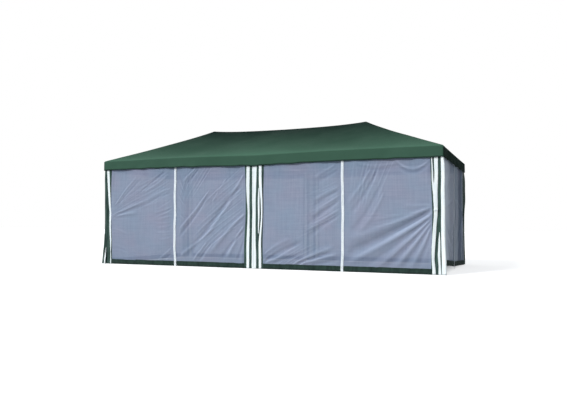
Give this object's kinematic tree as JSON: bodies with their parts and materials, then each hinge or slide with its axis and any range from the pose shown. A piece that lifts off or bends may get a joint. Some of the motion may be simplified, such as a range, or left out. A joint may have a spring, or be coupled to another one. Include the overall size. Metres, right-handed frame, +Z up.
{
  "type": "screen house",
  "caption": "Rectangular garden screen house with a steel-tube frame, a hipped canopy with raised peaks and a valance, and net walls with zipped doorways.",
  "frame": {"origin": "on the ground, at the middle of the plan", "axes": "+X along the long side, +Z up, the two front doorways face -Y"},
  "size_m": [6, 3, 2.545],
  "materials": {
    "frame_tube": "white powder coat, satin",
    "fitting": "moulded, fine grain",
    "canopy_cloth": "coated woven cloth, dark green, matte",
    "net": "fine open mesh, blue grey",
    "zip_tape": "woven tape, white",
    "stripe_white": "woven cloth, white",
    "stripe_green": "woven cloth, dark green",
    "hem_cloth": "coated woven cloth, dark green",
    "zip_slider": "die-cast, bright"
  },
  "bodies": {
    "root": {"lower_leg_front_left": "frame_tube", "upper_leg_front_left": "frame_tube", "lower_leg_front_middle": "frame_tube", "upper_leg_front_middle": "frame_tube", "lower_leg_front_right": "frame_tube", "upper_leg_front_right": "frame_tube", "lower_leg_back_left": "frame_tube", "upper_leg_back_left": "frame_tube", "lower_leg_back_middle": "frame_tube", "upper_leg_back_middle": "frame_tube", "lower_leg_back_right": "frame_tube", "upper_leg_back_right": "frame_tube", "eave_rail_front_left": "frame_tube", "hip_rafter_front_left": "frame_tube", "corner_fitting_front_left": "fitting", "eave_rail_front_right": "frame_tube", "hip_rafter_front_right": "frame_tube", "corner_fitting_front_right": "fitting", "side_rafter_front": "frame_tube", "side_fitting_front": "fitting", "eave_rail_back_left": "frame_tube", "hip_rafter_back_left": "frame_tube", "corner_fitting_back_left": "fitting", "eave_rail_back_right": "frame_tube", "hip_rafter_back_right": "frame_tube", "corner_fitting_back_right": "fitting", "side_rafter_back": "frame_tube", "side_fitting_back": "fitting", "end_rail_left": "frame_tube", "ridge_tube_left": "frame_tube", "peak_fitting_left": "fitting", "end_rail_right": "frame_tube", "ridge_tube_right": "frame_tube", "peak_fitting_right": "fitting", "ridge_fitting": "fitting", "canopy": "canopy_cloth", "back_wall_left": "net", "back_wall_right": "net", "front_wall_left_net_left": "net", "front_wall_left_net_right": "net", "front_wall_right_net_left": "net", "front_wall_right_net_right": "net", "end_wall_left_net_left": "net", "end_wall_left_net_right": "net", "end_wall_right_net_left": "net", "end_wall_right_net_right": "net"},
    "front_wall_left_curtain_left": {"front_wall_left_zip_tape_left": "zip_tape"},
    "front_wall_left_curtain_right": {"front_wall_left_zip_tape_right": "zip_tape"},
    "front_wall_left_slider": {"front_wall_left_zip_slider": "zip_slider"},
    "front_wall_right_curtain_left": {"front_wall_right_zip_tape_left": "zip_tape"},
    "front_wall_right_curtain_right": {"front_wall_right_zip_tape_right": "zip_tape"},
    "front_wall_right_slider": {"front_wall_right_zip_slider": "zip_slider"},
    "end_wall_left_curtain_left": {"end_wall_left_zip_tape_left": "zip_tape"},
    "end_wall_left_curtain_right": {"end_wall_left_zip_tape_right": "zip_tape"},
    "end_wall_left_slider": {"end_wall_left_zip_slider": "zip_slider"},
    "end_wall_right_curtain_left": {"end_wall_right_zip_tape_left": "zip_tape"},
    "end_wall_right_curtain_right": {"end_wall_right_zip_tape_right": "zip_tape"},
    "end_wall_right_slider": {"end_wall_right_zip_slider": "zip_slider"}
  },
  "joints": [
    {"name": "front_wall_left_curtain_left_slide", "type": "slide", "parent": "root", "child": "front_wall_left_curtain_left", "axis": [-1, 0, 0], "range_m": [0, 1.1], "deforming": ["front_wall_left_net_left"]},
    {"name": "front_wall_left_curtain_right_slide", "type": "slide", "parent": "root", "child": "front_wall_left_curtain_right", "axis": [1, 0, 0], "range_m": [0, 1.1], "deforming": ["front_wall_left_net_right"]},
    {"name": "front_wall_left_slider_slide", "type": "slide", "parent": "front_wall_left_curtain_right", "child": "front_wall_left_slider", "axis": [0, 0, 1], "range_m": [0, 1.7]},
    {"name": "front_wall_right_curtain_left_slide", "type": "slide", "parent": "root", "child": "front_wall_right_curtain_left", "axis": [-1, 0, 0], "range_m": [0, 1.1], "deforming": ["front_wall_right_net_left"]},
    {"name": "front_wall_right_curtain_right_slide", "type": "slide", "parent": "root", "child": "front_wall_right_curtain_right", "axis": [1, 0, 0], "range_m": [0, 1.1], "deforming": ["front_wall_right_net_right"]},
    {"name": "front_wall_right_slider_slide", "type": "slide", "parent": "front_wall_right_curtain_right", "child": "front_wall_right_slider", "axis": [0, 0, 1], "range_m": [0, 1.7]},
    {"name": "end_wall_left_curtain_left_slide", "type": "slide", "parent": "root", "child": "end_wall_left_curtain_left", "axis": [0, 1, 0], "range_m": [0, 1.1], "deforming": ["end_wall_left_net_left"]},
    {"name": "end_wall_left_curtain_right_slide", "type": "slide", "parent": "root", "child": "end_wall_left_curtain_right", "axis": [0, -1, 0], "range_m": [0, 1.1], "deforming": ["end_wall_left_net_right"]},
    {"name": "end_wall_left_slider_slide", "type": "slide", "parent": "end_wall_left_curtain_right", "child": "end_wall_left_slider", "axis": [0, 0, 1], "range_m": [0, 1.7]},
    {"name": "end_wall_right_curtain_left_slide", "type": "slide", "parent": "root", "child": "end_wall_right_curtain_left", "axis": [0, -1, 0], "range_m": [0, 1.1], "deforming": ["end_wall_right_net_left"]},
    {"name": "end_wall_right_curtain_right_slide", "type": "slide", "parent": "root", "child": "end_wall_right_curtain_right", "axis": [0, 1, 0], "range_m": [0, 1.1], "deforming": ["end_wall_right_net_right"]},
    {"name": "end_wall_right_slider_slide", "type": "slide", "parent": "end_wall_right_curtain_right", "child": "end_wall_right_slider", "axis": [0, 0, 1], "range_m": [0, 1.7]}
  ]
}
